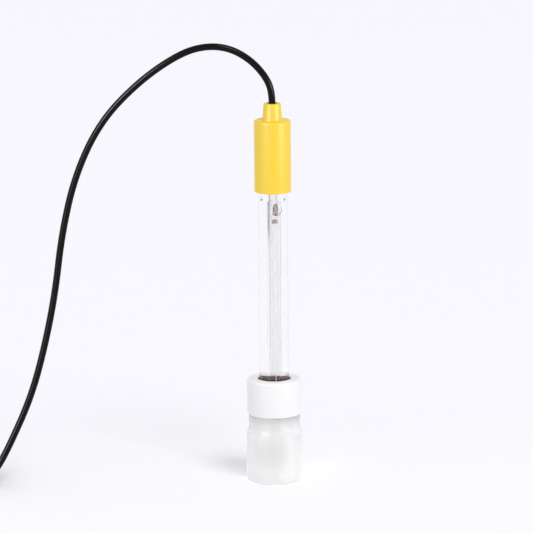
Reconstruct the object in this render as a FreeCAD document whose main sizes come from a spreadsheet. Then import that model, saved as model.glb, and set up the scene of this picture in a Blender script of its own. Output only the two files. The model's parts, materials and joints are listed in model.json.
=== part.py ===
import FreeCAD, Part
import math
import os
from types import SimpleNamespace

import Sketcher
from FreeCAD import Placement, Rotation, Vector

# A combination redox electrode that stands in its storage bottle, with its cable wound up beside it.
# Millimetres, +Z up, the origin at the centre of the bottle's base. The cable leaves towards -X.

SIZES = {
    # storage bottle
    "bottle_radius": 11.4,
    "bottle_wall": 1.1,
    "bottle_floor": 1.1,
    "base_rounding": 1.5,
    "base_ring_inside": 6.6,
    "push_up_radius": 3.2,
    "push_up_rise": 1.8,
    "shoulder_bottom": 20.6,
    "shoulder_rise": 1.9,
    "shoulder_rounding": 0.9,
    "neck_bead_step": 1.3,
    "neck_bead_height": 5.2,
    "neck_thread_space": 0.75,
    "neck_wall": 1.2,
    "neck_height": 16.0,
    "solution_level": 17.0,
    "liquid_gap": 0.1,
    # lid, slip washer and seal ring
    "lid_inset": 0.35,
    "lid_skirt_wall": 1.1,
    "lid_top_wall": 1.3,
    "lid_rim_gap": 0.3,
    "lid_hole_clearance": 0.2,
    "lid_rounding": 1.0,
    "lid_lower_rounding": 0.3,
    "washer_thickness": 0.5,
    "washer_clearance": 0.65,
    "washer_hole_clearance": 0.1,
    "seal_flange_inset": 0.3,
    "seal_flange_thickness": 2.0,
    "seal_collar_wall": 0.45,
    "seal_collar_depth": 0.1,
    "seal_running_gap": 0.06,
    "seal_rounding": 0.2,
    "face_gap": 0.1,
    # glass
    "glass_radius": 6.0,
    "glass_wall": 1.0,
    "glass_bottom": 6.0,
    "glass_top": 133.0,
    "glass_floor_wall": 1.2,
    "glass_rounding": 4.5,
    "stem_radius": 1.65,
    "stem_bore": 1.25,
    "stem_offset": 0.55,
    "stem_top": 135.6,
    "seal_gap": 0.02,
    "junction_radius": 0.5,
    "junction_offset": 3.0,
    "junction_proud": 0.3,
    "junction_length": 2.0,
    "gel_level": 116.3,
    "gel_gap": 0.05,
    # sensor and leads
    "pin_radius": 0.6,
    "pin_tip": 3.4,
    "pin_length": 4.4,
    "pin_rounding": 0.3,
    "pin_wire_radius": 0.15,
    "bead_bottom": 106.7,
    "bead_height": 1.2,
    "lead_radius": 0.2,
    "lead_coil_radius": 0.82,
    "lead_coil_bottom": 109.4,
    "lead_coil_pitch": 1.05,
    "lead_coil_turns": 5.0,
    "reference_wire_radius": 0.15,
    "reference_wire_offset": 1.45,
    "reference_wire_bottom": 97.0,
    "sleeve_wall": 0.27,
    "sleeve_length": 2.6,
    "sleeve_bottom": 136.4,
    "sleeve_fit": 0.03,
    # stopper
    "stopper_height": 7.0,
    "stopper_flange": 1.2,
    "stopper_gap": 0.05,
    # head
    "head_wall": 1.33,
    "head_bottom": 119.5,
    "head_top": 148.7,
    "head_rounding": 0.8,
    "head_lower_rounding": 0.4,
    "head_glass_gap": 0.1,
    "head_roof": 2.8,
    "resin_inset": 0.6,
    "resin_gap": 0.05,
    "boss_base_radius": 4.0,
    "boss_top_radius": 3.5,
    "boss_height": 6.8,
    "boss_rounding": 0.5,
    "mouth_radius": 2.1,
    "mouth_depth": 1.5,
    # cable
    "cable_radius": 1.4,
    "cable_hole_gap": 0.05,
    "jacket_end": 143.5,
    "dielectric_radius": 0.75,
    "dielectric_end": 141.8,
    "conductor_radius": 0.22,
    "braid_tail_radius": 0.24,
    "lead_way_radius": 1.85,
    "coil_x": -132.7,
    "coil_y": 4.8,
    "coil_outer_turn": 16.8,
    "coil_inner_turn": 11.2,
    "coil_layer_pitch": 2.85,
    "coil_layers": 4.0,
    "coil_rounding": 1.2,
    "coil_shift": 0.7,
    # bayonet plug
    "plug_turn": 12.0,
    "plug_tilt": 3.8,
    "plug_height": 9.47,
    "plug_cable_run": 4.0,
    "plug_corner_run": 9.8,
    "boot_length": 14.5,
    "boot_rear_radius": 2.0,
    "boot_middle_radius": 3.25,
    "boot_middle": 6.4,
    "boot_front_wall": 0.85,
    "boot_groove_depth": 0.3,
    "boot_groove_width": 0.8,
    "boot_groove_pitch": 1.6,
    "boot_groove_count": 3.0,
    "ferrule_clearance": 0.65,
    "ferrule_wall": 0.45,
    "ferrule_start": 7.5,
    "ferrule_length": 8.2,
    "jacket_depth": 1.3,
    "jacket_gap": 0.2,
    "tail_wall": 1.1,
    "tail_bore_clearance": 0.1,
    "tail_length": 7.0,
    "shoulder_step": 1.15,
    "shoulder_length": 2.3,
    "sleeve_radius": 4.05,
    "sleeve_tube_wall": 0.55,
    "sleeve_past_pin": 1.0,
    "sleeve_slot_width": 0.5,
    "sleeve_slot_length": 7.0,
    "sleeve_slot_count": 4.0,
    "keeper_step": 0.7,
    "keeper_space": 0.7,
    "keeper_length": 1.0,
    "keeper_depth": 0.2,
    "insulator_rear_length": 8.2,
    "insulator_nose_inset": 1.2,
    "insulator_nose_length": 5.0,
    "contact_radius": 0.68,
    "contact_barrel_step": 0.27,
    "contact_barrel_length": 2.2,
    "contact_reach": 3.1,
    "gasket_thickness": 1.5,
    "gasket_step": 0.65,
    "nut_wall": 2.3,
    "nut_front_step": 0.5,
    "nut_axial_gap": 0.3,
    "nut_lip": 1.3,
    "nut_lip_clearance": 0.3,
    "nut_chamber_clearance": 0.2,
    "nut_chamber_length": 2.2,
    "nut_bore_clearance": 0.2,
    "nut_past_sleeve": 0.6,
    "nut_knurl_length": 10.5,
    "nut_groove_count": 24.0,
    "nut_groove_radius": 0.45,
    "nut_rounding": 0.5,
    "slot_width": 2.1,
    "slot_entry": 3.0,
    "slot_depth": 6.2,
    "slot_shift": 3.0,
    "slot_count": 2.0,
    "wave_washer_thickness": 0.35,
    "wave_washer_step": 1.45,
    "fit_gap": 0.1,
}

# The cable's way from the boss over to the floor, where it runs into the coil.
CABLE_POINTS = [
    (0.0, 0.0, 154.0),
    (0.0, 0.0, 160.2),
    (-2.6, 0.0, 166.4),
    (-8.6, 0.0, 173.2),
    (-17.0, 0.0, 178.0),
    (-26.5, 0.0, 178.9),
    (-37.0, 0.0, 175.8),
    (-53.0, 0.0, 165.0),
    (-69.0, -0.3, 148.6),
    (-79.5, -1.0, 126.8),
    (-85.2, -2.2, 102.6),
    (-88.0, -3.6, 79.9),
    (-92.4, -5.2, 58.4),
    (-98.3, -7.2, 37.2),
    (-107.7, -9.6, 16.8),
    (-112.7, -10.5, 7.86),
    (-117.0, -11.4, 4.24),
    (-124.65, -12.0, 1.4),
    (-130.35, -12.0, 1.4),
]
ARC_SHARE = 0.45


class Size:
    """A length from the sheet, or a sum of such lengths, with its value and its expression."""

    def __init__(self, value, text):
        self.value = value
        self.text = text

    def __add__(self, other):
        other = as_size(other)
        return Size(self.value + other.value, f"({self.text} + {other.text})")

    def __sub__(self, other):
        other = as_size(other)
        return Size(self.value - other.value, f"({self.text} - {other.text})")

    def __mul__(self, factor):
        factor = as_size(factor)
        return Size(self.value * factor.value, f"({self.text} * {factor.text})")

    def __neg__(self):
        return Size(-self.value, f"(0 - {self.text})")


def as_size(value):
    """The value itself if it is a Size, or a plain number as one."""
    return value if isinstance(value, Size) else Size(float(value), repr(float(value)))


doc = FreeCAD.newDocument("redox_electrode")
sheet = doc.addObject("Spreadsheet::Sheet", "Sizes")
for row, (alias, number) in enumerate(SIZES.items(), 1):
    sheet.set(f"A{row}", alias)
    sheet.set(f"B{row}", str(number))
    sheet.setAlias(f"B{row}", alias)
doc.recompute()
S = SimpleNamespace(**{alias: Size(float(sheet.get(alias)), f"Sizes.{alias}") for alias in SIZES})
ZERO = as_size(0.0)
PIECES = []


def keep(item, label):
    """Labels a finished sub-part and puts it on the list of pieces."""
    item.Label = label
    PIECES.append(item)
    return item


def bind(item, prop, size):
    """Sets a property to a size and ties it to the sheet."""
    setattr(item, prop, size.value)
    item.setExpression(prop, size.text)


def sketch_in(body, role, name, level=ZERO):
    """A sketch on one of the body's own origin planes, moved along that plane's normal by level."""
    sketch = body.newObject("Sketcher::SketchObject", name)
    plane = next(f for f in body.Origin.OriginFeatures if f.Role == role)
    sketch.AttachmentSupport = [(plane, "")]
    sketch.MapMode = "FlatFace"
    sketch.AttachmentOffset = Placement(Vector(0, 0, level.value), Rotation())
    sketch.setExpression("AttachmentOffset.Base.z", level.text)
    return sketch


def fix(sketch, kind, where, size):
    """Adds one dimension to a sketch and ties it to the sheet."""
    index = sketch.addConstraint(Sketcher.Constraint(kind, *where, size.value))
    sketch.setExpression(f"Constraints[{index}]", size.text)


def outline(sketch, corners):
    """Draws a closed outline of straight sides through corners, each a pair of sizes."""
    first = sketch.GeometryCount
    ends = [Vector(as_size(x).value, as_size(y).value, 0) for x, y in corners]
    for start, end in zip(ends, ends[1:] + ends[:1]):
        sketch.addGeometry(Part.LineSegment(start, end), False)
    for i, (x, y) in enumerate(corners):
        line = first + i
        following = first + (i + 1) % len(corners)
        sketch.addConstraint(Sketcher.Constraint("Coincident", line, 2, following, 1))
        fix(sketch, "DistanceX", (line, 1), as_size(x))
        fix(sketch, "DistanceY", (line, 1), as_size(y))


def circle(sketch, across, up, radius):
    """Draws a circle about a centre given by two sizes."""
    across, up = as_size(across), as_size(up)
    centre = Vector(across.value, up.value, 0)
    index = sketch.addGeometry(Part.Circle(centre, Vector(0, 0, 1), radius.value), False)
    fix(sketch, "Radius", (index,), radius)
    fix(sketch, "DistanceX", (index, 3), across)
    fix(sketch, "DistanceY", (index, 3), up)


def turned(label, corners):
    """A body turned about Z from an outline of (radius, height) corners."""
    body = doc.addObject("PartDesign::Body", label)
    sketch = sketch_in(body, "XZ_Plane", f"{label}_outline")
    outline(sketch, corners)
    turn = body.newObject("PartDesign::Revolution", f"{label}_turn")
    turn.Profile = sketch
    turn.ReferenceAxis = (sketch, ["V_Axis"])
    turn.Angle = 360
    doc.recompute()
    return keep(body, label)


def rim_names(shape, rims):
    """The names of the circular edges at the given (radius, height) pairs."""
    names = []
    for i, edge in enumerate(shape.Edges, 1):
        curve = edge.Curve
        if not isinstance(curve, Part.Circle):
            continue
        for radius, height in rims:
            near = abs(curve.Radius - radius.value) < 1e-4
            if near and abs(curve.Center.z - as_size(height).value) < 1e-4:
                names.append(f"Edge{i}")
                break
    return names


def rounded(body, rims, size, kind="Fillet"):
    """Rounds or chamfers the body's circular rims at the given (radius, height) pairs."""
    base = body.Tip
    dressing = body.newObject(f"PartDesign::{kind}", f"{body.Name}_{kind.lower()}")
    dressing.Base = (base, rim_names(base.Shape, rims))
    bind(dressing, "Radius" if kind == "Fillet" else "Size", size)
    doc.recompute()


def pad(body, level, length, circles, name="pad"):
    """Adds material up from a level, inside the given (across, up, radius) circles."""
    sketch = sketch_in(body, "XY_Plane", f"{body.Name}_{name}_outline", level)
    for across, up, radius in circles:
        circle(sketch, across, up, radius)
    feature = body.newObject("PartDesign::Pad", f"{body.Name}_{name}")
    feature.Profile = sketch
    bind(feature, "Length", length)
    doc.recompute()


def bore_down(body, level, depth, circles=(), corners=(), name="bore"):
    """Cuts down from a level, inside circles or an outline."""
    sketch = sketch_in(body, "XY_Plane", f"{body.Name}_{name}_outline", level)
    for across, up, radius in circles:
        circle(sketch, across, up, radius)
    if corners:
        outline(sketch, corners)
    feature = body.newObject("PartDesign::Pocket", f"{body.Name}_{name}")
    feature.Profile = sketch
    bind(feature, "Length", depth)
    doc.recompute()
    return feature


def repeated(body, feature, count, name):
    """Repeats a feature evenly about Z."""
    pattern = body.newObject("PartDesign::PolarPattern", f"{body.Name}_{name}")
    pattern.Originals = [feature]
    pattern.Axis = (next(f for f in body.Origin.OriginFeatures if f.Role == "Z_Axis"), [""])
    pattern.Angle = 360
    pattern.Occurrences = int(round(count.value))
    body.Tip = pattern
    doc.recompute()


def rod(label, across, bottom, length, radius):
    """A straight upright rod beside the axis."""
    item = doc.addObject("Part::Cylinder", label)
    bind(item, "Radius", radius)
    bind(item, "Height", length)
    across = as_size(across)
    item.Placement = Placement(Vector(across.value, 0, bottom.value), Rotation())
    item.setExpression("Placement.Base.x", across.text)
    item.setExpression("Placement.Base.z", bottom.text)
    return item


def run_with_arcs(points):
    """A wire of straight runs joined by tangent arcs, and the arcs' radii."""
    edges = []
    radii = []
    start = points[0]
    for before, corner, after in zip(points, points[1:], points[2:]):
        back = (before - corner).normalize()
        ahead = (after - corner).normalize()
        half_turn = (math.pi - back.getAngle(ahead)) / 2
        setback = ARC_SHARE * min((before - corner).Length, (after - corner).Length)
        radius = setback / math.tan(half_turn)
        entry = corner + back * setback
        leave = corner + ahead * setback
        towards = (back + ahead).normalize()
        middle = corner + towards * (radius / math.cos(half_turn) - radius)
        edges.append(Part.LineSegment(start, entry).toShape())
        edges.append(Part.Arc(entry, middle, leave).toShape())
        radii.append(radius)
        start = leave
    edges.append(Part.LineSegment(start, points[-1]).toShape())
    return Part.Wire(edges), radii


def swept(label, wire, radius):
    """A round wire or cable swept along a path, with its volume tested against its length."""
    start = wire.Edges[0]
    heading = start.tangentAt(start.FirstParameter)
    ring = Part.Wire(Part.Circle(start.valueAt(start.FirstParameter), heading, radius).toShape())
    solid = wire.makePipeShell([ring], True, True)
    item = doc.addObject("Part::Feature", label)
    item.Shape = solid
    item.Placement = Placement()
    expected = math.pi * radius**2 * wire.Length
    share = solid.Volume / expected
    print(f"{label}: {wire.Length:.1f} mm long, volume {share:.4f} of section times length")
    return keep(item, label)


def vectors(points):
    """Points as vectors."""
    return [Vector(*point) for point in points]


BOTTLE_BODY_TOP = S.shoulder_bottom + S.shoulder_rise
NECK_BEAD_TOP = BOTTLE_BODY_TOP + S.neck_bead_height
LID_RADIUS = S.bottle_radius - S.lid_inset
LID_INSIDE = LID_RADIUS - S.lid_skirt_wall
NECK_RADIUS = LID_INSIDE - S.neck_thread_space
NECK_BEAD_RADIUS = NECK_RADIUS + S.neck_bead_step
NECK_TOP = BOTTLE_BODY_TOP + S.neck_height
SEAL_FLANGE_TOP = NECK_TOP + S.face_gap + S.seal_flange_thickness
WASHER_TOP = SEAL_FLANGE_TOP + S.washer_thickness
LID_UNDERSIDE = WASHER_TOP + S.face_gap
LID_TOP = LID_UNDERSIDE + S.lid_top_wall
LID_BOTTOM = NECK_BEAD_TOP + S.lid_rim_gap
INNER_FLOOR = S.push_up_rise + S.bottle_floor
BOTTLE_INSIDE = S.bottle_radius - S.bottle_wall
NECK_BORE = NECK_RADIUS - S.neck_wall
SEAL_BORE = S.glass_radius + S.seal_running_gap
SEAL_COLLAR_RADIUS = SEAL_BORE + S.seal_collar_wall
LID_HOLE_RADIUS = SEAL_COLLAR_RADIUS + S.lid_hole_clearance
CAVITY_FLOOR = S.glass_bottom + S.glass_floor_wall
CAVITY_RADIUS = S.glass_radius - S.glass_wall
STOPPER_FLANGE_TOP = S.glass_top + S.stopper_gap + S.stopper_flange
BOSS_TOP = S.head_top + S.boss_height
HEAD_ROOF_BOTTOM = S.head_top - S.head_roof
HEAD_RADIUS = S.glass_radius + S.head_glass_gap + S.head_wall
RESIN_CHAMBER = S.glass_radius - S.resin_inset
COIL_HEIGHT = S.coil_layer_pitch * (S.coil_layers - 1) + S.cable_radius * 2
COIL_FRONT = S.coil_y - S.coil_outer_turn

FERRULE_BORE = S.cable_radius + S.ferrule_clearance
FERRULE_RADIUS = FERRULE_BORE + S.ferrule_wall
FERRULE_END = S.ferrule_start + S.ferrule_length
BOOT_CHAMBER = FERRULE_RADIUS + S.cable_hole_gap
JACKET_STOP = S.ferrule_start + S.jacket_depth
TAIL_START = JACKET_STOP + S.jacket_gap
TAIL_BORE = S.dielectric_radius + S.tail_bore_clearance
SHOULDER_START = TAIL_START + S.tail_length
SHOULDER_END = SHOULDER_START + S.shoulder_length
SLEEVE_BORE = S.sleeve_radius - S.sleeve_tube_wall
NUT_START = SHOULDER_END + S.nut_axial_gap
NUT_LIP_END = NUT_START + S.nut_lip
KEEPER_START = NUT_LIP_END + S.keeper_space
KEEPER_END = KEEPER_START + S.keeper_length
INSULATOR_REAR_END = SHOULDER_END + S.insulator_rear_length
INSULATOR_NOSE_END = INSULATOR_REAR_END + S.insulator_nose_length
CONTACT_END = INSULATOR_NOSE_END + S.contact_reach
SLEEVE_END = CONTACT_END + S.sleeve_past_pin
NUT_END = SLEEVE_END + S.nut_past_sleeve
GASKET_RADIUS = S.sleeve_radius + S.gasket_step
WAVE_WASHER_RADIUS = S.sleeve_radius + S.wave_washer_step
NUT_BORE = GASKET_RADIUS + S.nut_bore_clearance
NUT_RADIUS = NUT_BORE + S.nut_wall
NUT_FRONT_RADIUS = NUT_RADIUS - S.nut_front_step


def storage_bottle():
    """A blown bottle: a push-up base, a rounded shoulder, a bead and the lid's plain neck."""
    body = turned(
        "storage_bottle",
        [
            (S.base_ring_inside, ZERO),
            (S.bottle_radius, ZERO),
            (S.bottle_radius, S.shoulder_bottom),
            (NECK_BEAD_RADIUS, BOTTLE_BODY_TOP),
            (NECK_BEAD_RADIUS, NECK_BEAD_TOP),
            (NECK_RADIUS, NECK_BEAD_TOP),
            (NECK_RADIUS, NECK_TOP),
            (NECK_BORE, NECK_TOP),
            (NECK_BORE, NECK_BEAD_TOP - S.bottle_wall),
            (NECK_BEAD_RADIUS - S.bottle_wall, NECK_BEAD_TOP - S.bottle_wall * 2),
            (NECK_BEAD_RADIUS - S.bottle_wall, BOTTLE_BODY_TOP),
            (BOTTLE_INSIDE, S.shoulder_bottom),
            (BOTTLE_INSIDE, S.bottle_floor),
            (S.base_ring_inside, S.bottle_floor),
            (S.push_up_radius, INNER_FLOOR),
            (ZERO, INNER_FLOOR),
            (ZERO, S.push_up_rise),
            (S.push_up_radius, S.push_up_rise),
        ],
    )
    rounded(body, [(S.bottle_radius, ZERO)], S.base_rounding)
    shoulders = [(S.bottle_radius, S.shoulder_bottom), (NECK_BEAD_RADIUS, BOTTLE_BODY_TOP)]
    rounded(body, shoulders, S.shoulder_rounding)
    rounded(body, [(BOTTLE_INSIDE, S.bottle_floor)], S.base_rounding)


def storage_solution():
    """The liquid in the bottle, with a blind well where the electrode stands."""
    gap = S.liquid_gap
    floor = S.bottle_floor + gap
    radius = BOTTLE_INSIDE - gap
    well = S.glass_radius + gap * 3
    well_floor = S.glass_bottom - S.junction_proud - gap * 3
    pin_well = S.stem_offset + S.pin_radius + gap * 4
    body = turned(
        "storage_solution",
        [
            (ZERO, INNER_FLOOR + gap),
            (S.push_up_radius, INNER_FLOOR + gap),
            (S.base_ring_inside, floor),
            (radius, floor),
            (radius, S.solution_level),
            (well, S.solution_level),
            (well, well_floor),
            (pin_well, well_floor),
            (pin_well, S.pin_tip - gap),
            (ZERO, S.pin_tip - gap),
        ],
    )
    rounded(body, [(radius, floor)], S.base_rounding)


def bottle_lid():
    """The screw lid, with the hole that the seal's collar stands in."""
    body = turned(
        "bottle_lid",
        [
            (LID_INSIDE, LID_BOTTOM),
            (LID_RADIUS, LID_BOTTOM),
            (LID_RADIUS, LID_TOP),
            (LID_HOLE_RADIUS, LID_TOP),
            (LID_HOLE_RADIUS, LID_UNDERSIDE),
            (LID_INSIDE, LID_UNDERSIDE),
        ],
    )
    rounded(body, [(LID_RADIUS, LID_TOP)], S.lid_rounding)
    rounded(body, [(LID_RADIUS, LID_BOTTOM)], S.lid_lower_rounding)


def seal_and_washer():
    """The collared seal ring that grips the glass, and the slip washer between it and the lid."""
    flange_bottom = NECK_TOP + S.face_gap
    flange_radius = NECK_RADIUS - S.seal_flange_inset
    washer_radius = LID_INSIDE - S.washer_clearance
    washer_hole = SEAL_COLLAR_RADIUS + S.washer_hole_clearance
    collar_top = LID_TOP - S.seal_collar_depth
    seal = turned(
        "seal_ring",
        [
            (SEAL_BORE, flange_bottom),
            (flange_radius, flange_bottom),
            (flange_radius, SEAL_FLANGE_TOP),
            (SEAL_COLLAR_RADIUS, SEAL_FLANGE_TOP),
            (SEAL_COLLAR_RADIUS, collar_top),
            (SEAL_BORE, collar_top),
        ],
    )
    rims = [(SEAL_BORE, flange_bottom), (SEAL_COLLAR_RADIUS, collar_top)]
    rounded(seal, rims, S.seal_rounding)
    turned(
        "slip_washer",
        [
            (washer_hole, SEAL_FLANGE_TOP),
            (washer_radius, SEAL_FLANGE_TOP),
            (washer_radius, WASHER_TOP),
            (washer_hole, WASHER_TOP),
        ],
    )


def glass_body():
    """The double glass: the outer tube with its round end, fused to the inner stem."""
    body = turned(
        "glass_body",
        [
            (ZERO, S.glass_bottom),
            (S.glass_radius, S.glass_bottom),
            (S.glass_radius, S.glass_top),
            (CAVITY_RADIUS, S.glass_top),
            (CAVITY_RADIUS, CAVITY_FLOOR),
            (ZERO, CAVITY_FLOOR),
        ],
    )
    rounded(body, [(S.glass_radius, S.glass_bottom)], S.glass_rounding)
    rounded(body, [(CAVITY_RADIUS, CAVITY_FLOOR)], S.glass_rounding - S.glass_wall)
    stem = [(S.stem_offset, ZERO, S.stem_radius), (S.stem_offset, ZERO, S.stem_bore)]
    pad(body, CAVITY_FLOOR, S.stem_top - CAVITY_FLOOR, stem, "stem")
    seat = S.glass_floor_wall * 2
    pin = [(S.stem_offset, ZERO, S.pin_radius + S.seal_gap)]
    bore_down(body, CAVITY_FLOOR, seat, pin, name="pin_seat")
    frit = [(-S.junction_offset, ZERO, S.junction_radius + S.seal_gap)]
    bore_down(body, CAVITY_FLOOR + S.glass_floor_wall, seat * 2, frit, name="frit_seat")


def sensor():
    """The platinum pin with the thin wire that is welded to it, and the frit beside it."""
    pin_top = S.pin_tip + S.pin_length
    body = doc.addObject("PartDesign::Body", "platinum_pin")
    pad(body, S.pin_tip, S.pin_length, [(S.stem_offset, ZERO, S.pin_radius)], "pin")
    rounded(body, [(S.pin_radius, S.pin_tip)], S.pin_rounding)
    keep(body, "platinum_pin")
    wire = S.bead_bottom - pin_top
    keep(rod("pin_wire", S.stem_offset, pin_top, wire, S.pin_wire_radius), "pin_wire")
    bottom = S.glass_bottom - S.junction_proud
    frit = rod("frit", -S.junction_offset, bottom, S.junction_length, S.junction_radius)
    keep(frit, "ceramic_junction")


def reference_gel():
    """The electrolyte between the outer tube and the stem."""
    gap = S.gel_gap
    radius = CAVITY_RADIUS - gap
    floor = CAVITY_FLOOR + gap
    body = turned(
        "reference_gel",
        [(ZERO, floor), (radius, floor), (radius, S.gel_level), (ZERO, S.gel_level)],
    )
    rounded(body, [(radius, floor)], S.glass_rounding - S.glass_wall)
    stem = [(S.stem_offset, ZERO, S.stem_radius + gap)]
    bore_down(body, S.gel_level, S.gel_level, stem, name="stem_way")
    wire = [(-S.reference_wire_offset, ZERO, S.reference_wire_radius + gap)]
    depth = S.gel_level - S.reference_wire_bottom + gap
    bore_down(body, S.gel_level, depth, wire, name="wire_way")
    frit_top = S.glass_bottom - S.junction_proud + S.junction_length + gap
    frit = [(-S.junction_offset, ZERO, S.junction_radius + gap)]
    bore_down(body, frit_top, S.junction_length, frit, name="frit_way")


def tube_stopper():
    """The stopper that closes the tube's top round the stem and the reference wire."""
    radius = CAVITY_RADIUS - S.stopper_gap
    flange_bottom = S.glass_top + S.stopper_gap
    flange_radius = S.glass_radius - S.stopper_gap * 2
    bottom = S.glass_top - S.stopper_height
    body = turned(
        "tube_stopper",
        [
            (ZERO, bottom),
            (radius, bottom),
            (radius, flange_bottom),
            (flange_radius, flange_bottom),
            (flange_radius, STOPPER_FLANGE_TOP),
            (ZERO, STOPPER_FLANGE_TOP),
        ],
    )
    through = STOPPER_FLANGE_TOP - bottom + 1
    stem = [(S.stem_offset, ZERO, S.stem_radius + S.stopper_gap)]
    bore_down(body, STOPPER_FLANGE_TOP, through, stem, name="stem_way")
    wire = [(-S.reference_wire_offset, ZERO, S.reference_wire_radius + S.seal_gap)]
    bore_down(body, STOPPER_FLANGE_TOP, through, wire, name="wire_way")


def lead_line():
    """The distance from the axis at which the sensor lead leaves the stem."""
    return S.stem_offset + S.lead_coil_radius


def leads():
    """The coiled sensor lead in the stem, its contact bead and the reference wire."""
    bead = rod("bead", S.stem_offset, S.bead_bottom, S.bead_height, S.stem_bore - S.gel_gap)
    keep(bead, "contact_bead")
    middle = S.sleeve_bottom + S.sleeve_length * 0.5 - S.seal_gap
    turns_height = S.lead_coil_pitch.value * S.lead_coil_turns.value
    radius = S.lead_coil_radius.value
    across = lead_line().value
    start = Vector(across, 0, S.bead_bottom.value + S.bead_height.value)
    low = Vector(across, 0, S.lead_coil_bottom.value)
    high = low + Vector(0, 0, turns_height)
    helix = Part.makeHelix(S.lead_coil_pitch.value, turns_height, radius)
    helix.translate(Vector(S.stem_offset.value, 0, low.z))
    first = helix.Edges[0]
    ring = Part.Circle(low, first.tangentAt(first.FirstParameter), S.lead_radius.value)
    turns = Part.Wire(helix.Edges).makePipeShell([Part.Wire(ring.toShape())], True, True)
    straight = [
        Part.makeCylinder(S.lead_radius.value, low.z - start.z, start),
        Part.makeCylinder(S.lead_radius.value, middle.value - high.z, high),
    ]
    item = doc.addObject("Part::Feature", "sensor_lead")
    item.Shape = turns.fuse(straight).removeSplitter()
    item.Placement = Placement()
    keep(item, "sensor_lead")
    length = middle - S.reference_wire_bottom
    offset = -S.reference_wire_offset
    wire = rod("reference", offset, S.reference_wire_bottom, length, S.reference_wire_radius)
    keep(wire, "reference_wire")


def crimp_sleeve(label, across):
    """A short tube crimped over two wire ends that meet in its middle."""
    bore = S.braid_tail_radius + S.sleeve_fit
    body = doc.addObject("PartDesign::Body", label)
    rings = [(across, ZERO, bore + S.sleeve_wall), (across, ZERO, bore)]
    pad(body, S.sleeve_bottom, S.sleeve_length, rings, "sleeve")
    return keep(body, label)


def head_cap():
    """The moulded head: a deep socket for the glass, a resin chamber and the cable's boss."""
    socket = S.glass_radius + S.head_glass_gap
    socket_top = STOPPER_FLANGE_TOP + S.resin_gap
    hole = S.cable_radius + S.cable_hole_gap
    body = turned(
        "head_cap",
        [
            (socket, S.head_bottom),
            (HEAD_RADIUS, S.head_bottom),
            (HEAD_RADIUS, S.head_top),
            (S.boss_base_radius, S.head_top),
            (S.boss_top_radius, BOSS_TOP),
            (S.mouth_radius, BOSS_TOP),
            (hole, BOSS_TOP - S.mouth_depth),
            (hole, HEAD_ROOF_BOTTOM),
            (RESIN_CHAMBER, HEAD_ROOF_BOTTOM),
            (RESIN_CHAMBER, socket_top),
            (socket, socket_top),
        ],
    )
    rounded(body, [(HEAD_RADIUS, S.head_top)], S.head_rounding)
    rounded(body, [(HEAD_RADIUS, S.head_bottom)], S.head_lower_rounding)
    rounded(body, [(S.boss_top_radius, BOSS_TOP)], S.boss_rounding)


def head_resin():
    """The resin cast in the head, with the space that the leads and their sleeves take."""
    gap = S.resin_gap
    bottom = STOPPER_FLANGE_TOP + gap * 2
    top = HEAD_ROOF_BOTTOM - gap
    radius = RESIN_CHAMBER - gap
    body = turned(
        "head_resin",
        [(ZERO, bottom), (radius, bottom), (radius, top), (ZERO, top)],
    )
    sleeve_top = S.sleeve_bottom + S.sleeve_length + gap
    depth = top - bottom + 1
    jacket = [(ZERO, ZERO, S.cable_radius + gap)]
    bore_down(body, top, top - S.jacket_end + gap, jacket, name="jacket_way")
    bend = [(ZERO, ZERO, S.lead_way_radius)]
    bore_down(body, S.jacket_end - gap, S.jacket_end - gap - sleeve_top, bend, name="lead_way")
    outside = S.braid_tail_radius + S.sleeve_fit + S.sleeve_wall + gap
    for side, across in (("right", lead_line()), ("left", -S.reference_wire_offset)):
        way = [(across, ZERO, outside)]
        bore_down(body, sleeve_top, depth, way, name=f"{side}_sleeve_way")
    stem = [(S.stem_offset, ZERO, S.stem_radius + gap)]
    bore_down(body, S.stem_top + gap, depth, stem, name="stem_way")


def cable_end():
    """The cable's stripped end in the head, joined to the leads by two crimped sleeves."""
    length = BOSS_TOP - S.mouth_depth - S.jacket_end
    keep(rod("jacket", ZERO, S.jacket_end, length, S.cable_radius), "cable_jacket_end")
    length = S.jacket_end - S.dielectric_end
    keep(rod("dielectric", ZERO, S.dielectric_end, length, S.dielectric_radius), "cable_dielectric")
    crimp_sleeve("sensor_sleeve", lead_line())
    crimp_sleeve("reference_sleeve", -S.reference_wire_offset)
    joint = S.sleeve_bottom.value + S.sleeve_length.value / 2 + S.seal_gap.value
    above = S.sleeve_bottom.value + S.sleeve_length.value + S.lead_radius.value
    right = lead_line().value
    left = -S.reference_wire_offset.value
    root = -S.cable_radius.value + S.braid_tail_radius.value + S.seal_gap.value
    conductor = [(0, S.dielectric_end.value), (0, above + 1.9), (right, above), (right, joint)]
    tail = [(root, S.jacket_end.value), (root, above + 1.9), (left, above), (left, joint)]
    for label, radius, points in (
        ("cable_conductor", S.conductor_radius, conductor),
        ("cable_braid_tail", S.braid_tail_radius, tail),
    ):
        wire, _ = run_with_arcs([Vector(x, 0, z) for x, z in points])
        swept(label, wire, radius.value)


def plug_frame():
    """Where the boot's rear end is, the way the plug points, and the placement of its pieces."""
    turn = math.radians(S.plug_turn.value)
    tilt = math.radians(S.plug_tilt.value)
    level = math.cos(tilt)
    heading = Vector(-math.cos(turn) * level, math.sin(turn) * level, -math.sin(tilt))
    front = Vector(S.coil_x.value, COIL_FRONT.value, 0)
    half = turn * 2 / 3
    corner = front + Vector(-math.cos(half), math.sin(half), 0) * S.plug_corner_run.value
    corner.z = S.plug_height.value
    rear = corner + heading * S.plug_cable_run.value
    return corner, rear, heading, Placement(rear, Rotation(Vector(0, 0, 1), heading))


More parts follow.
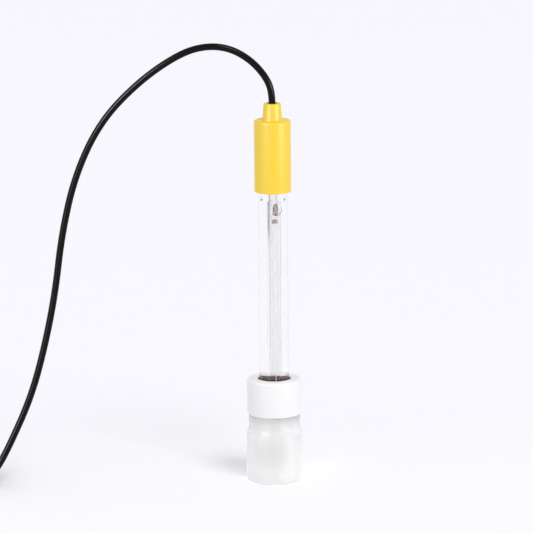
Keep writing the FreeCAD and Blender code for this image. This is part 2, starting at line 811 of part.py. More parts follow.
def cable():
    """The cable from the boss down to the floor, and the coil that its unseen length is wound into."""
    wire, radii = run_with_arcs(vectors(CABLE_POINTS))
    print("cable arc radii:", ", ".join(f"{radius:.1f}" for radius in radii))
    swept("cable", Part.Wire(wire.Edges[:-2]), S.cable_radius.value)
    cable_coil(Part.Wire(wire.Edges[-2:]))


def cable_coil(lead_in):
    """The coil's outer shape, with the cable's way into it and out of it to the boot."""
    radius = S.cable_radius.value
    outer = (S.coil_outer_turn + S.cable_radius - S.coil_shift).value
    inner = (S.coil_inner_turn - S.cable_radius + S.coil_shift).value
    height = COIL_HEIGHT.value
    centre = Vector(S.coil_x.value, S.coil_y.value - S.coil_shift.value, 0)
    ring = Part.makeCylinder(outer, height, centre).cut(Part.makeCylinder(inner, height, centre))
    rims = [e for e in ring.Edges if isinstance(e.Curve, Part.Circle)]
    ring = ring.makeFillet(S.coil_rounding.value, rims)
    top = height - radius
    front = Vector(S.coil_x.value, COIL_FRONT.value, top)
    corner, rear, heading, _ = plug_frame()
    start = front + Vector(S.plug_cable_run.value * 2, 0, 0)
    end = rear + heading * JACKET_STOP.value
    lead_out, radii = run_with_arcs([start, front, corner, end])
    print("lead-out arc radii:", ", ".join(f"{value:.1f}" for value in radii))
    landing = lead_in.Edges[-1]
    reach = Vector(S.coil_x.value, COIL_FRONT.value, radius)
    lead_in = Part.Wire(
        [lead_in.Edges[0], Part.LineSegment(landing.valueAt(landing.FirstParameter), reach).toShape()]
    )
    stubs = []
    for way in (lead_in, lead_out):
        first = way.Edges[0]
        heading = first.tangentAt(first.FirstParameter)
        rim = Part.Circle(first.valueAt(first.FirstParameter), heading, radius).toShape()
        stubs.append(way.makePipeShell([Part.Wire(rim)], True, True))
    item = doc.addObject("Part::Feature", "cable_coil")
    item.Shape = ring.fuse(stubs).removeSplitter()
    item.Placement = Placement()
    keep(item, "cable_coil")


def plug_boot():
    """The ribbed boot over the cable's end."""
    hole = S.cable_radius + S.cable_hole_gap
    front = BOOT_CHAMBER + S.boot_front_wall
    depth = S.ferrule_start - S.fit_gap
    body = turned(
        "plug_boot",
        [
            (hole, ZERO),
            (S.boot_rear_radius, ZERO),
            (S.boot_middle_radius, S.boot_middle),
            (front, S.boot_length),
            (BOOT_CHAMBER, S.boot_length),
            (BOOT_CHAMBER, depth),
            (hole, depth),
        ],
    )
    sketch = sketch_in(body, "XZ_Plane", "rib_outline")
    low = S.boot_groove_pitch
    high = low + S.boot_groove_width
    inside = S.boot_rear_radius - S.boot_groove_depth * 0.5
    outside = front + 1
    outline(sketch, [(inside, low), (outside, low), (outside, high), (inside + S.boot_groove_depth, high)])
    groove = body.newObject("PartDesign::Groove", "rib")
    groove.Profile = sketch
    groove.ReferenceAxis = (sketch, ["V_Axis"])
    groove.Angle = 360
    doc.recompute()
    pattern = body.newObject("PartDesign::LinearPattern", "ribs")
    pattern.Originals = [groove]
    pattern.Direction = (next(f for f in body.Origin.OriginFeatures if f.Role == "Z_Axis"), [""])
    count = int(S.boot_groove_count.value)
    bind(pattern, "Length", S.boot_groove_pitch * (count - 1))
    pattern.Occurrences = count
    body.Tip = pattern
    doc.recompute()


def plug_core():
    """The ferrule, the body with its slotted sleeve, the insulator and the contact pin."""
    gap = S.cable_hole_gap
    turned(
        "crimp_ferrule",
        [
            (FERRULE_BORE, S.ferrule_start),
            (FERRULE_RADIUS, S.ferrule_start),
            (FERRULE_RADIUS, FERRULE_END),
            (FERRULE_BORE, FERRULE_END),
        ],
    )
    tail = TAIL_BORE + S.tail_wall
    shoulder = S.sleeve_radius + S.shoulder_step
    neck = S.sleeve_radius - S.keeper_depth
    keeper = S.sleeve_radius + S.keeper_step
    body = turned(
        "plug_body",
        [
            (TAIL_BORE, TAIL_START),
            (tail, TAIL_START),
            (tail, SHOULDER_START),
            (shoulder, SHOULDER_START),
            (shoulder, SHOULDER_END),
            (S.sleeve_radius, SHOULDER_END),
            (S.sleeve_radius, KEEPER_START - gap),
            (neck, KEEPER_START - gap),
            (neck, KEEPER_END + gap),
            (S.sleeve_radius, KEEPER_END + gap),
            (S.sleeve_radius, SLEEVE_END),
            (SLEEVE_BORE, SLEEVE_END),
            (SLEEVE_BORE, SHOULDER_END),
            (TAIL_BORE, SHOULDER_END),
        ],
    )
    rounded(body, [(S.sleeve_radius, SLEEVE_END)], S.sleeve_slot_width * 0.4, "Chamfer")
    half = S.sleeve_slot_width * 0.5
    reach = S.sleeve_radius + 1
    inside = SLEEVE_BORE - 1
    slot = bore_down(
        body,
        SLEEVE_END,
        S.sleeve_slot_length,
        corners=[(inside, -half), (reach, -half), (reach, half), (inside, half)],
        name="slot",
    )
    repeated(body, slot, S.sleeve_slot_count, "slots")
    turned(
        "retaining_ring",
        [
            (neck + gap, KEEPER_START),
            (keeper, KEEPER_START),
            (keeper, KEEPER_END),
            (neck + gap, KEEPER_END),
        ],
    )
    radius = SLEEVE_BORE - gap
    nose = SLEEVE_BORE - S.insulator_nose_inset
    barrel_radius = S.contact_radius + S.contact_barrel_step
    barrel = barrel_radius + gap
    hole = S.contact_radius + gap
    bottom = SHOULDER_END + gap
    barrel_end = bottom + S.contact_barrel_length
    turned(
        "plug_insulator",
        [
            (barrel, bottom),
            (radius, bottom),
            (radius, INSULATOR_REAR_END),
            (nose, INSULATOR_REAR_END),
            (nose, INSULATOR_NOSE_END),
            (hole, INSULATOR_NOSE_END),
            (hole, barrel_end),
            (barrel, barrel_end),
        ],
    )
    barrel_top = barrel_end - gap
    pin = turned(
        "contact_pin",
        [
            (ZERO, bottom),
            (barrel_radius, bottom),
            (barrel_radius, barrel_top),
            (S.contact_radius, barrel_top),
            (S.contact_radius, CONTACT_END),
            (ZERO, CONTACT_END),
        ],
    )
    rounded(pin, [(S.contact_radius, CONTACT_END)], S.contact_radius * 0.8)
    turned(
        "plug_dielectric",
        [
            (ZERO, JACKET_STOP),
            (S.dielectric_radius, JACKET_STOP),
            (S.dielectric_radius, bottom - gap),
            (ZERO, bottom - gap),
        ],
    )


def plug_seals():
    """The gasket round the sleeve and the sprung washer that pulls the nut back."""
    gap = S.fit_gap
    start = KEEPER_END + gap * 2
    turned(
        "plug_gasket",
        [
            (S.sleeve_radius + S.cable_hole_gap, start),
            (GASKET_RADIUS, start),
            (GASKET_RADIUS, start + S.gasket_thickness),
            (S.sleeve_radius + S.cable_hole_gap, start + S.gasket_thickness),
        ],
    )
    top = KEEPER_START - gap
    turned(
        "wave_washer",
        [
            (S.sleeve_radius + S.cable_hole_gap, top - S.wave_washer_thickness),
            (WAVE_WASHER_RADIUS, top - S.wave_washer_thickness),
            (WAVE_WASHER_RADIUS, top),
            (S.sleeve_radius + S.cable_hole_gap, top),
        ],
    )


def coupling_nut():
    """The bayonet nut: a lip behind the sprung washer, knurling and two slanted slots."""
    lip_bore = S.sleeve_radius + S.nut_lip_clearance
    chamber = WAVE_WASHER_RADIUS + S.nut_chamber_clearance
    chamber_end = NUT_LIP_END + S.nut_chamber_length
    knurl_end = NUT_START + S.nut_knurl_length
    body = turned(
        "coupling_nut",
        [
            (lip_bore, NUT_START),
            (NUT_RADIUS, NUT_START),
            (NUT_RADIUS, knurl_end),
            (NUT_FRONT_RADIUS, knurl_end),
            (NUT_FRONT_RADIUS, NUT_END),
            (NUT_BORE, NUT_END),
            (NUT_BORE, chamber_end),
            (chamber, chamber_end),
            (chamber, NUT_LIP_END),
            (lip_bore, NUT_LIP_END),
        ],
    )
    ends = [(NUT_RADIUS, NUT_START), (NUT_FRONT_RADIUS, NUT_END)]
    rounded(body, ends, S.nut_rounding)
    groove = bore_down(
        body,
        knurl_end,
        S.nut_knurl_length,
        [(NUT_RADIUS, ZERO, S.nut_groove_radius)],
        name="groove",
    )
    repeated(body, groove, S.nut_groove_count, "knurl")
    half = S.slot_width * 0.5
    front = NUT_END + 1
    turn = NUT_END - S.slot_entry
    end = NUT_END - S.slot_depth
    sketch = sketch_in(body, "XZ_Plane", "slot_outline")
    outline(
        sketch,
        [
            (-half, front),
            (-half, turn),
            (S.slot_shift - half, end),
            (S.slot_shift + half, end),
            (half, turn + S.slot_width * 0.5),
            (half, front),
        ],
    )
    slot = body.newObject("PartDesign::Pocket", "slot")
    slot.Profile = sketch
    bind(slot, "Length", NUT_RADIUS + 1)
    doc.recompute()
    repeated(body, slot, S.slot_count, "slots")


def plug():
    """The plug on the cable's end, lying beside the coil."""
    first = len(PIECES)
    plug_boot()
    plug_core()
    plug_seals()
    coupling_nut()
    placement = plug_frame()[3]
    for piece in PIECES[first:]:
        piece.Placement = placement
    rear, heading = placement.Base, placement.Rotation.multVec(Vector(0, 0, 1))
    print(f"plug: rear {rear}, heading {heading}")


def build():
    storage_bottle()
    storage_solution()
    bottle_lid()
    seal_and_washer()
    glass_body()
    sensor()
    reference_gel()
    tube_stopper()
    leads()
    head_cap()
    head_resin()
    cable_end()
    cable()
    plug()


def check_and_export():
    """Tests every object of the document, and writes each sub-part to its own file."""
    doc.recompute()
    for item in doc.Objects:
        if "Invalid" in item.State or "Error" in item.State:
            raise RuntimeError(f"{item.Label} failed: {item.State}")
    os.makedirs("parts", exist_ok=True)
    for piece in PIECES:
        shape = piece.Shape
        if shape.isNull() or not shape.isValid():
            raise RuntimeError(f"{piece.Label} has no valid shape")
        shape.exportStep(f"parts/{piece.Label}.step")
        box = shape.BoundBox
        size = f"{len(shape.Solids)} solid, {shape.Volume:.1f} mm3"
        print(f"{piece.Label}: {size}, z {box.ZMin:.2f} to {box.ZMax:.2f}")


build()
check_and_export()
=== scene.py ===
import json
import math

import bmesh
import bpy
from mathutils import Matrix, Vector

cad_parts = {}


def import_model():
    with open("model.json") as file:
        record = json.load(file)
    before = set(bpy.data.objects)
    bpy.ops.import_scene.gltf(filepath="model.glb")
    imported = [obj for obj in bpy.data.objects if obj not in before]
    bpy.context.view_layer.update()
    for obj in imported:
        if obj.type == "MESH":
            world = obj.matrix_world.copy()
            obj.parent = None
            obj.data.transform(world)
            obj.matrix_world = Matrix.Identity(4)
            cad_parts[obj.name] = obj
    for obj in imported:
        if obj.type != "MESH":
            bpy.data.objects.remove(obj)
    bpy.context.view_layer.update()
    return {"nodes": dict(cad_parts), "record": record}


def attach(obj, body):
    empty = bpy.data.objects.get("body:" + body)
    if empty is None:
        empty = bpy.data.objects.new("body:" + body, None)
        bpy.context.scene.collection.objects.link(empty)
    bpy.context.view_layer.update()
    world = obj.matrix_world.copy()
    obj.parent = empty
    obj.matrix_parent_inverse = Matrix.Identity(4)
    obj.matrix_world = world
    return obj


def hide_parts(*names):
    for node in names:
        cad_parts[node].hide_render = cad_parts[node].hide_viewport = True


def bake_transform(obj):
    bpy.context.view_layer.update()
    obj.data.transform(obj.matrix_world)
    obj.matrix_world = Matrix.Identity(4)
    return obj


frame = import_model()
nodes = frame["nodes"]
SCENE = bpy.context.scene

# A redox electrode that stands in its storage bottle, seen from a little above.
# Named sizes are in millimetres in the solids' own frame, and MM turns them into metres.

MM = 0.001

# The camera

CAMERA_AT = Vector((-2.793, -1800.0, 465.51)) * MM
CAMERA_PITCH = math.radians(11.8257)
CAMERA_ROLL = math.radians(-0.46486)
CAMERA_ANGLE = math.radians(6.6968)


def make_camera():
    """The photograph's camera, from its place, pitch and roll."""
    data = bpy.data.cameras.new("camera")
    data.angle = CAMERA_ANGLE
    data.clip_start = 0.05
    data.clip_end = 20
    camera = bpy.data.objects.new("camera", data)
    SCENE.collection.objects.link(camera)
    ahead = Vector((0, math.cos(CAMERA_PITCH), -math.sin(CAMERA_PITCH)))
    right = ahead.cross(Vector((0, 0, 1))).normalized()
    up = right.cross(ahead)
    turned_right = right * math.cos(CAMERA_ROLL) + up * math.sin(CAMERA_ROLL)
    turned_up = up * math.cos(CAMERA_ROLL) - right * math.sin(CAMERA_ROLL)
    turn = Matrix((turned_right, turned_up, -ahead)).transposed()
    camera.matrix_world = Matrix.Translation(CAMERA_AT) @ turn.to_4x4()
    SCENE.camera = camera


make_camera()

# Building blocks of the materials

# The colour sockets of a Mix node, which share their names with those of its other kinds.
MIX_A, MIX_B, MIX_RESULT = 6, 7, 2
NOISE_MIDDLE = 0.5
DRIFT_SCALE = 120.0
RELIEF_HEIGHT = 0.00005
# Light goes straight through a clear material once it is past one scattering, or past two if milky.
PAST_ONE = 0.5
PAST_TWO = 1.5
MILKY = (0.99, 0.99, 0.99)
HARDLY_TINTED = (0.99, 0.99, 0.99)


def new_group(name, inputs, outputs):
    """A shader node group with inputs of (name, type, default) and outputs of (name, type)."""
    group = bpy.data.node_groups.new(name, "ShaderNodeTree")
    for label, kind, default in inputs:
        socket = group.interface.new_socket(label, in_out="INPUT", socket_type=kind)
        socket.default_value = default
    for label, kind in outputs:
        group.interface.new_socket(label, in_out="OUTPUT", socket_type=kind)
    return group, group.nodes.new("NodeGroupInput"), group.nodes.new("NodeGroupOutput")


def node(tree, kind, **settings):
    """A new node with its properties and its inputs' values set."""
    made = tree.nodes.new(kind)
    for key, value in settings.items():
        if hasattr(made, key) and key not in made.inputs:
            setattr(made, key, value)
        else:
            made.inputs[key.replace("_", " ")].default_value = value
    return made


def grain_group():
    """Fine surface relief and a slight drift of tone, in object space."""
    group, given, result = new_group(
        "surface_grain",
        [
            ("Scale", "NodeSocketFloat", 900.0),
            ("Depth", "NodeSocketFloat", 0.1),
            ("Drift", "NodeSocketFloat", 0.03),
            ("Color", "NodeSocketColor", (0.8, 0.8, 0.8, 1)),
            ("Roughness", "NodeSocketFloat", 0.4),
        ],
        [("Color", "NodeSocketColor"), ("Roughness", "NodeSocketFloat"), ("Normal", "NodeSocketVector")],
    )
    link = group.links.new
    place = group.nodes.new("ShaderNodeTexCoord")
    fine = node(group, "ShaderNodeTexNoise", Detail=4.0, Roughness=0.6)
    link(place.outputs["Object"], fine.inputs["Vector"])
    link(given.outputs["Scale"], fine.inputs["Scale"])
    broad = node(group, "ShaderNodeTexNoise", Scale=DRIFT_SCALE, Detail=2.0)
    link(place.outputs["Object"], broad.inputs["Vector"])
    bump = node(group, "ShaderNodeBump", Distance=RELIEF_HEIGHT)
    link(fine.outputs["Fac"], bump.inputs["Height"])
    link(given.outputs["Depth"], bump.inputs["Strength"])
    centred = node(group, "ShaderNodeMath", operation="SUBTRACT")
    centred.inputs[1].default_value = NOISE_MIDDLE
    link(broad.outputs["Fac"], centred.inputs[0])
    drift = node(group, "ShaderNodeMath", operation="MULTIPLY_ADD")
    drift.inputs[2].default_value = 1.0
    link(centred.outputs[0], drift.inputs[0])
    link(given.outputs["Drift"], drift.inputs[1])
    tone = node(group, "ShaderNodeMix", data_type="RGBA", blend_type="MULTIPLY", Factor=1.0)
    link(given.outputs["Color"], tone.inputs[MIX_A])
    link(drift.outputs[0], tone.inputs[MIX_B])
    rough = node(group, "ShaderNodeMath", operation="MULTIPLY")
    link(given.outputs["Roughness"], rough.inputs[0])
    link(drift.outputs[0], rough.inputs[1])
    link(tone.outputs[MIX_RESULT], result.inputs["Color"])
    link(rough.outputs[0], result.inputs["Roughness"])
    link(bump.outputs["Normal"], result.inputs["Normal"])
    return group


GRAIN = grain_group()
MATERIALS = {}


def material(name, colour, roughness, grain=900.0, depth=0.1, drift=0.06, **sockets):
    """A Principled material with surface grain: its scale, its depth and the drift of the tone.

    A polished surface has no roughness and no depth, and then only its colour drifts.
    """
    made = bpy.data.materials.new(name)
    made.use_nodes = True
    tree = made.node_tree
    shader = tree.nodes["Principled BSDF"]
    detail = tree.nodes.new("ShaderNodeGroup")
    detail.node_tree = GRAIN
    detail.inputs["Scale"].default_value = grain
    detail.inputs["Depth"].default_value = depth
    detail.inputs["Drift"].default_value = drift
    detail.inputs["Color"].default_value = (*colour, 1)
    detail.inputs["Roughness"].default_value = roughness
    tree.links.new(detail.outputs["Color"], shader.inputs["Base Color"])
    if roughness:
        tree.links.new(detail.outputs["Roughness"], shader.inputs["Roughness"])
    else:
        shader.inputs["Roughness"].default_value = 0.0
    if depth:
        tree.links.new(detail.outputs["Normal"], shader.inputs["Normal"])
    for key, value in sockets.items():
        shader.inputs[key.replace("_", " ")].default_value = value
    MATERIALS[name] = made
    return made


def lit_through(made, tint, share=1.0, glow=0.0):
    """Lets light straight through a clear material to what lies in it, with a slight tint.

    share is how much of that light gets through. glow is the part of the light that a milky
    material scatters on from its far side.
    """
    tree = made.node_tree
    shader = tree.nodes["Principled BSDF"]
    out = tree.nodes["Material Output"]
    path = tree.nodes.new("ShaderNodeLightPath")
    straight = node(tree, "ShaderNodeBsdfTransparent", Color=(*tint, 1))
    later = node(tree, "ShaderNodeMath", operation="GREATER_THAN")
    later.inputs[1].default_value = PAST_TWO if glow else PAST_ONE
    tree.links.new(path.outputs["Diffuse Depth"], later.inputs[0])
    through = node(tree, "ShaderNodeMath", operation="MAXIMUM")
    tree.links.new(path.outputs["Is Shadow Ray"], through.inputs[0])
    tree.links.new(later.outputs[0], through.inputs[1])
    amount = node(tree, "ShaderNodeMath", operation="MULTIPLY")
    amount.inputs[1].default_value = share
    tree.links.new(through.outputs[0], amount.inputs[0])
    body = shader.outputs[0]
    if glow:
        milky = node(tree, "ShaderNodeBsdfTranslucent", Color=(*MILKY, 1))
        both = node(tree, "ShaderNodeMixShader", Fac=glow)
        tree.links.new(body, both.inputs[1])
        tree.links.new(milky.outputs[0], both.inputs[2])
        body = both.outputs[0]
    mix = tree.nodes.new("ShaderNodeMixShader")
    tree.links.new(amount.outputs[0], mix.inputs[0])
    tree.links.new(body, mix.inputs[1])
    tree.links.new(straight.outputs[0], mix.inputs[2])
    tree.links.new(mix.outputs[0], out.inputs["Surface"])


def clear(name, colour, ior, passed=HARDLY_TINTED, grain=40, drift=0.01):
    """A polished, clear material. Light that goes straight through it gets the tint called passed."""
    made = material(
        name, colour, 0.0, grain=grain, depth=0.0, drift=drift, IOR=ior, Transmission_Weight=1.0
    )
    lit_through(made, passed)


def paler_below(made, bottom, top, bare):
    """Fades a wire's dark coating to its bare metal between two heights in metres."""
    tree = made.node_tree
    detail = next(n for n in tree.nodes if n.type == "GROUP")
    place = tree.nodes.new("ShaderNodeTexCoord")
    split = tree.nodes.new("ShaderNodeSeparateXYZ")
    tree.links.new(place.outputs["Object"], split.inputs[0])
    rise = tree.nodes.new("ShaderNodeMapRange")
    rise.inputs["From Min"].default_value = bottom
    rise.inputs["From Max"].default_value = top
    tree.links.new(split.outputs["Z"], rise.inputs["Value"])
    tone = node(tree, "ShaderNodeMix", data_type="RGBA")
    tone.inputs[MIX_A].default_value = (*bare, 1)
    tone.inputs[MIX_B].default_value = detail.inputs["Color"].default_value
    tree.links.new(rise.outputs[0], tone.inputs["Factor"])
    tree.links.new(tone.outputs[MIX_RESULT], detail.inputs["Color"])


# The materials, one for each slot of the record and three more for clear pieces

# The heights between which the reference wire's dark coating fades in.
COATING_FROM = 100.5
COATING_TO = 104.5


def mouldings():
    """The head, the lid, the bottle and the slip washer."""
    material(
        "yellow_plastic", (0.92, 0.63, 0.015), 0.4, grain=1500, depth=0.08, drift=0.04,
        Coat_Weight=0.4, Coat_Roughness=0.38,
    )
    material(
        "white_plastic", (0.9, 0.9, 0.905), 0.4, grain=1200, depth=0.05, drift=0.015,
        Specular_IOR_Level=0.2,
        Subsurface_Weight=0.1, Subsurface_Scale=0.002, Subsurface_Radius=(1, 1, 1),
    )
    milky = material(
        "translucent_plastic", (0.99, 0.99, 0.985), 0.22, grain=700, drift=0.01,
        IOR=1.3, Transmission_Weight=0.52, Specular_IOR_Level=0.2,
    )
    lit_through(milky, (0.97, 0.965, 0.975), share=0.97, glow=0.25)
    material("washer_plastic", (0.8, 0.8, 0.77), 0.4)


def glass_and_fillings():
    """The glass, the gel, the liquid and the bubble.

    The stem, the gel's level and the bubble bend light less than real ones, so that their lines are faint.
    """
    glass_tint = (0.996, 0.998, 0.998)
    gel_tint = (0.998, 0.999, 0.998)
    clear("clear_glass", glass_tint, 1.47, passed=(0.97, 0.975, 0.975), grain=60, drift=0.02)
    clear("stem_glass", glass_tint, 1.14, grain=60, drift=0.02)
    clear("clear_gel", gel_tint, 1.333)
    clear("gel_level", gel_tint, 1.01)
    clear("clear_liquid", (0.995, 0.997, 0.998), 1.34, passed=(0.98, 0.98, 0.98))
    clear("air_bubble", (1, 1, 1), 0.85)


def rubbers_and_resins():
    """The seal, the stopper, the cable's jacket and insulation, the boot and the cast resin."""
    material(
        "seal_rubber", (0.1, 0.012, 0.01), 0.5, grain=1500, depth=0.3, drift=0.1,
        Specular_IOR_Level=0.25,
    )
    material("stopper_rubber", (0.5, 0.46, 0.38), 0.6, grain=1200, depth=0.3, drift=0.1)
    material(
        "cable_jacket", (0.002, 0.002, 0.0022), 0.18, grain=1400, depth=0.05, drift=0.1,
        Specular_IOR_Level=0.14,
    )
    material("boot_rubber", (0.012, 0.012, 0.013), 0.45, grain=1500, depth=0.2, drift=0.1)
    material("dielectric", (0.85, 0.84, 0.8), 0.35, grain=1200, drift=0.04)
    material("potting_resin", (0.08, 0.06, 0.03), 0.3, grain=800, drift=0.1)


def metals_and_ceramic():
    """The wires, their joints, the plug's metals and the porous junction."""
    material("platinum", (0.93, 0.92, 0.91), 0.35, grain=2000, drift=0.1, Metallic=0.1)
    material("solder", (0.28, 0.27, 0.26), 0.45, grain=1800, depth=0.4, drift=0.2)
    material("copper", (0.98, 0.7, 0.6), 0.5, grain=1500, depth=0.15, drift=0.12)
    wire = material("silver_chloride", (0.17, 0.16, 0.17), 0.55, grain=2500, depth=0.5, drift=0.25)
    paler_below(wire, COATING_FROM * MM, COATING_TO * MM, (0.75, 0.74, 0.73))
    material("tinned", (0.6, 0.6, 0.58), 0.35, grain=1500, depth=0.3, drift=0.15, Metallic=1.0)
    material("nickel", (0.62, 0.6, 0.57), 0.18, grain=1800, depth=0.08, drift=0.1, Metallic=1.0)
    material("gold", (0.83, 0.56, 0.2), 0.22, grain=1800, depth=0.08, drift=0.08, Metallic=1.0)
    material("spring_steel", (0.5, 0.5, 0.51), 0.28, grain=1500, depth=0.2, drift=0.1, Metallic=1.0)
    material("frit_ceramic", (0.8, 0.79, 0.74), 0.8, grain=2500, depth=0.5, drift=0.1)


mouldings()
glass_and_fillings()
rubbers_and_resins()
metals_and_ceramic()


def paint(item, name):
    """Gives a piece one of the materials."""
    item.data.materials.clear()
    item.data.materials.append(MATERIALS[name])


for part in frame["record"]["subparts"]:
    paint(nodes[part["node"]], part["material_slot"])

# Building blocks of the turned pieces

SAME_PLACE = 1e-7
NO_AREA = 1e-16
EDGE_STAYS_SHARP = math.radians(32)


def finished(name, bm, look, body):
    """Makes a piece from a bmesh, with outward normals and smooth faces, riding on a body."""
    bmesh.ops.remove_doubles(bm, verts=bm.verts, dist=SAME_PLACE)
    bmesh.ops.recalc_face_normals(bm, faces=bm.faces)
    for face in bm.faces:
        face.smooth = True
    mesh = bpy.data.meshes.new(name)
    bm.to_mesh(mesh)
    bm.free()
    item = bpy.data.objects.new(name, mesh)
    SCENE.collection.objects.link(item)
    mesh.set_sharp_from_angle(angle=EDGE_STAYS_SHARP)
    paint(item, look)
    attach(item, body)
    return item


def arc(centre, radius, start, end, steps=8):
    """Points of an arc about a centre, from one angle to another in degrees."""
    points = []
    for i in range(steps + 1):
        angle = math.radians(start + (end - start) * i / steps)
        points.append((centre[0] + radius * math.cos(angle), centre[1] + radius * math.sin(angle)))
    return points


def section(points, rise=0.0):
    """A bmesh with a closed outline of (radius, height), lifted by rise, and its geometry."""
    bm = bmesh.new()
    verts = [bm.verts.new((r * MM, 0, (rise + z) * MM)) for r, z in points]
    edges = [bm.edges.new(pair) for pair in zip(verts, verts[1:] + verts[:1])]
    return bm, verts, edges


def spun(profile, steps=160):
    """A bmesh turned about Z from a closed profile of (radius, height)."""
    bm, verts, edges = section(profile)
    bmesh.ops.spin(
        bm, geom=verts + edges, axis=(0, 0, 1), cent=(0, 0, 0),
        angle=2 * math.pi, steps=steps, use_merge=True,
    )
    bmesh.ops.remove_doubles(bm, verts=bm.verts, dist=SAME_PLACE)
    flat = [f for f in bm.faces if f.calc_area() < NO_AREA]
    bmesh.ops.delete(bm, geom=flat, context="FACES")
    return bm


# The cable: over to the left, down to the surface, round the coil and into the plug

CABLE_POINTS = [
    (0.0, 0.0, 154.0),
    (0.0, 0.0, 160.2),
    (-2.6, 0.0, 166.4),
    (-8.6, 0.0, 173.2),
    (-17.0, 0.0, 178.0),
    (-26.5, 0.0, 178.9),
    (-37.0, 0.0, 175.8),
    (-53.0, 0.0, 165.0),
    (-69.0, -0.3, 148.6),
    (-79.5, -1.0, 126.8),
    (-85.2, -2.2, 102.6),
    (-88.0, -3.6, 79.9),
    (-92.4, -5.2, 58.4),
    (-98.3, -7.2, 37.2),
    (-107.7, -9.6, 16.8),
    (-112.7, -10.5, 7.86),
    (-117.0, -11.4, 4.24),
    (-124.65, -12.0, 1.4),
]
CABLE_RADIUS = 1.4
CABLE_EDGE_STAYS_SHARP = math.radians(50)
COIL_CENTRE = (-132.7, 4.8)
COIL_OUTER = 16.8
COIL_INNER = 11.2
LAYER_PITCH = 2.85
LAYERS = 4
TURNS_A_LAYER = 2
POINTS_A_TURN = 24
POINTS_A_CLIMB = 2
# The cable's last bend, the boot's rear, the way the plug points and how far the cable reaches into it.
PLUG_CORNER = (-142.405, -10.636, 9.47)
PLUG_REAR = (-146.309, -9.806, 9.205)
PLUG_HEADING = Vector((-0.976, 0.20745, -0.0663)).normalized()
JACKET_STOP = 8.8


def coil_points():
    """The turns of the put-away length: flat spirals, one on another, in and out by turns."""
    points = []
    a_layer = TURNS_A_LAYER * POINTS_A_TURN
    for i in range(LAYERS * a_layer + 1):
        layer, within = divmod(i, a_layer)
        if layer == LAYERS:
            layer, within = LAYERS - 1, a_layer
        share = within / a_layer
        inward = COIL_OUTER + (COIL_INNER - COIL_OUTER) * share
        radius = inward if layer % 2 == 0 else COIL_OUTER + COIL_INNER - inward
        # The climb from a layer to the next is halfway done where one ends and the other starts.
        level = float(layer)
        if layer and within < POINTS_A_CLIMB:
            level += within / POINTS_A_CLIMB / 2 - 0.5
        if layer < LAYERS - 1 and within > a_layer - POINTS_A_CLIMB:
            level += (within - a_layer + POINTS_A_CLIMB) / POINTS_A_CLIMB / 2
        turn = 2 * math.pi * i / POINTS_A_TURN
        x = COIL_CENTRE[0] - radius * math.sin(turn)
        y = COIL_CENTRE[1] - radius * math.cos(turn)
        points.append((x, y, CABLE_RADIUS + LAYER_PITCH * level))
    return points


def cable_curve():
    """The cable's line, one smooth spline from the boss to the plug."""
    end = Vector(PLUG_REAR) + PLUG_HEADING * JACKET_STOP
    points = CABLE_POINTS + coil_points() + [PLUG_CORNER, tuple(end)]
    data = bpy.data.curves.new("cable_line", "CURVE")
    data.dimensions = "3D"
    data.resolution_u = 8
    line = data.splines.new("NURBS")
    line.points.add(len(points) - 1)
    for knot, (x, y, z) in zip(line.points, points):
        knot.co = (x * MM, y * MM, z * MM, 1)
    line.order_u = 3
    line.use_endpoint_u = True
    item = bpy.data.objects.new("cable_line", data)
    SCENE.collection.objects.link(item)
    return item


def make_cable():
    """The cable as a round tube along its line, in place of the cable and its coil."""
    curve = cable_curve()
    bare = bpy.data.meshes.new_from_object(curve)
    curve.data.bevel_depth = CABLE_RADIUS * MM
    curve.data.bevel_resolution = 6
    curve.data.use_fill_caps = True
    mesh = bpy.data.meshes.new_from_object(curve)
    bpy.data.objects.remove(curve)
    mesh.name = "cable_tube"
    for face in mesh.polygons:
        face.use_smooth = True
    tube = bpy.data.objects.new("cable_tube", mesh)
    SCENE.collection.objects.link(tube)
    mesh.set_sharp_from_angle(angle=CABLE_EDGE_STAYS_SHARP)
    paint(tube, "cable_jacket")
    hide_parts("cable", "cable_coil")
    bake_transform(tube)


make_cable()

# The glass: an outer tube and, a little off its axis, the stem inside it

GLASS_RADIUS = 6.0
GLASS_WALL = 1.0
GLASS_BORE = GLASS_RADIUS - GLASS_WALL
GLASS_BOTTOM = 6.0
GLASS_FLOOR_WALL = 1.2
GLASS_FLOOR = GLASS_BOTTOM + GLASS_FLOOR_WALL
GLASS_TOP = 133.0
GLASS_ROUNDING = 4.5
GLASS_INNER_ROUNDING = GLASS_ROUNDING - GLASS_WALL
GLASS_EDGE = 0.2
# A point a little above the round end keeps the long side's shading straight.
ROUND_END_TOP = 14.0
STEM_RADIUS = 1.65
STEM_WALL = 0.4
STEM_SUNK = 0.2
STEM_PROUD = 2.6
STEM_EDGE = 0.1
STEM_OFFSET = 0.55


def outer_glass():
    """The outer tube with its round end."""
    round_middle = GLASS_RADIUS - GLASS_ROUNDING
    profile = (
        [(0.0, GLASS_BOTTOM)]
        + arc((round_middle, GLASS_BOTTOM + GLASS_ROUNDING), GLASS_ROUNDING, -90, 0, steps=20)
        + [(GLASS_RADIUS, ROUND_END_TOP), (GLASS_RADIUS, GLASS_TOP - GLASS_EDGE)]
        + [(GLASS_RADIUS - GLASS_EDGE, GLASS_TOP), (GLASS_BORE + GLASS_EDGE, GLASS_TOP)]
        + [(GLASS_BORE, GLASS_TOP - GLASS_EDGE), (GLASS_BORE, ROUND_END_TOP)]
        + arc((round_middle, GLASS_FLOOR + GLASS_INNER_ROUNDING), GLASS_INNER_ROUNDING, 0, -90, steps=16)
        + [(0.0, GLASS_FLOOR)]
    )
    item = finished("glass_shell", spun(profile), "clear_glass", "electrode")
    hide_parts("glass_body")


